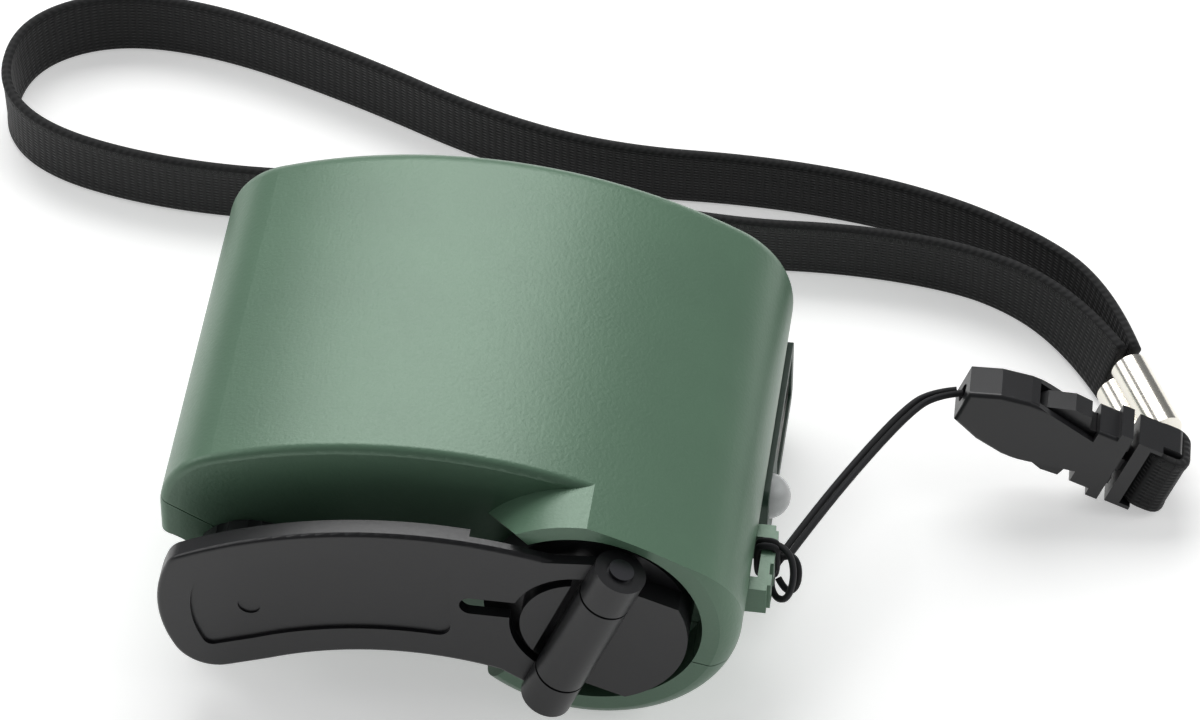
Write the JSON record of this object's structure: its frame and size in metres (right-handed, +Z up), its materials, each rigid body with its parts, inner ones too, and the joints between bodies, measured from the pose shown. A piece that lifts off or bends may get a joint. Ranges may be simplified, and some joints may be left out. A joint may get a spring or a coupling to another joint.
{
  "type": "hand crank phone charger",
  "caption": "Palm-sized bean-shaped charger with a folding crank on its face, a charging socket and lamp at one end, and a buckled wrist strap on a thin cord.",
  "frame": {"origin": "middle of the housing's footprint on the table, crank and lamp included, strap and cord left out", "axes": "+X along the housing towards its socket end, +Y from the crank face to the flat back, +Z up as it stands on its two lobes"},
  "size_m": [0.1404, 0.101, 0.0339],
  "materials": {
    "shell_green": "satin metallic grey-green",
    "dark_trim": "dark green, satin",
    "crank_plastic": "charcoal, satin",
    "steel": "brushed",
    "brass_bush": "turned",
    "gear_plastic": "natural nylon",
    "magnet": "sintered, grey",
    "board": "board green",
    "capacitor_can": "satin",
    "black_plastic": "moulded black",
    "clear_lamp": "clear",
    "copper_wire": "enamelled copper",
    "lead_wire": "insulated",
    "cord_fabric": "braided black",
    "strap_fabric": "woven black",
    "sleeve_white": "pale, glossy"
  },
  "bodies": {
    "housing": {"upper_shell": "shell_green", "lower_shell": "shell_green", "shell_screws": "steel", "port_panel": "dark_trim", "front_bush": "brass_bush", "rear_bush": "brass_bush", "bearing_plate": "black_plastic", "plate_screws": "steel", "idler_axle_1": "steel", "idler_axle_2": "steel", "generator_can": "steel", "generator_cap": "black_plastic", "generator_magnets": "magnet", "generator_screws": "steel", "circuit_board": "board", "board_screws": "steel", "usb_socket": "steel", "usb_tongue": "black_plastic", "capacitor": "capacitor_can", "regulator": "black_plastic", "lamp": "clear_lamp", "lamp_leads": "lead_wire", "generator_leads": "lead_wire", "lanyard_hitch": "cord_fabric", "lanyard_cord": "cord_fabric", "buckle_socket": "crank_plastic", "buckle_plug": "crank_plastic", "strap_end": "strap_fabric", "crimp_sleeve": "sleeve_white", "wrist_strap": "strap_fabric"},
    "crank": {"crank_hub": "crank_plastic", "crank_shaft": "steel", "shaft_clip": "steel", "drive_gear": "gear_plastic", "hinge_pin": "steel"},
    "arm": {"crank_arm": "crank_plastic", "knob_rivet": "steel"},
    "knob": {"crank_knob": "crank_plastic"},
    "idler_1": {"idler_gear_1": "gear_plastic"},
    "idler_2": {"idler_gear_2": "gear_plastic"},
    "armature": {"armature_shaft": "steel", "armature_core": "steel", "armature_coils": "copper_wire", "commutator": "copper_wire", "generator_pinion": "brass_bush"},
    "latch_upper": {"latch_arm_upper": "crank_plastic"},
    "latch_lower": {"latch_arm_lower": "crank_plastic"}
  },
  "joints": [
    {"name": "crank_spin", "type": "hinge", "parent": "housing", "child": "crank", "pos_m": [0.01365, -0.0153, 0.0162], "axis": [0, 1, 0], "continuous": true},
    {"name": "arm_fold", "type": "hinge", "parent": "crank", "child": "arm", "pos_m": [0.01365, -0.0249, 0.0162], "axis": [0.3551, 0, 0.9348], "range_deg": [0, 180]},
    {"name": "knob_spin", "type": "hinge", "parent": "arm", "child": "knob", "pos_m": [-0.02185, -0.0198, 0.0142], "axis": [0, 1, 0], "continuous": true},
    {"name": "idler_1_spin", "type": "hinge", "parent": "housing", "child": "idler_1", "pos_m": [0.00265, -0.0093, 0.01956], "axis": [0, 1, 0], "continuous": true},
    {"name": "idler_2_spin", "type": "hinge", "parent": "housing", "child": "idler_2", "pos_m": [-0.00885, -0.0053, 0.01976], "axis": [0, 1, 0], "continuous": true},
    {"name": "armature_spin", "type": "hinge", "parent": "housing", "child": "armature", "pos_m": [-0.02026, 0.0057, 0.01836], "axis": [0, 1, 0], "continuous": true},
    {"name": "latch_upper_press", "type": "hinge", "parent": "housing", "child": "latch_upper", "pos_m": [0.06774, 0.01779, 0.00819], "axis": [0.0368, -0.9857, 0.1643], "range_deg": [0, 5], "stiffness_Nm_per_rad": 0.01},
    {"name": "latch_lower_press", "type": "hinge", "parent": "housing", "child": "latch_lower", "pos_m": [0.06592, 0.01697, 0.00371], "axis": [-0.0368, 0.9857, -0.1643], "range_deg": [0, 5], "stiffness_Nm_per_rad": 0.01}
  ],
  "couplings": [
    {"joint": "idler_1_spin", "follows": "crank_spin", "ratio": -3.6},
    {"joint": "idler_2_spin", "follows": "crank_spin", "ratio": 12.96},
    {"joint": "armature_spin", "follows": "crank_spin", "ratio": -46.656},
    {"joint": "latch_lower_press", "follows": "latch_upper_press", "ratio": 1}
  ]
}
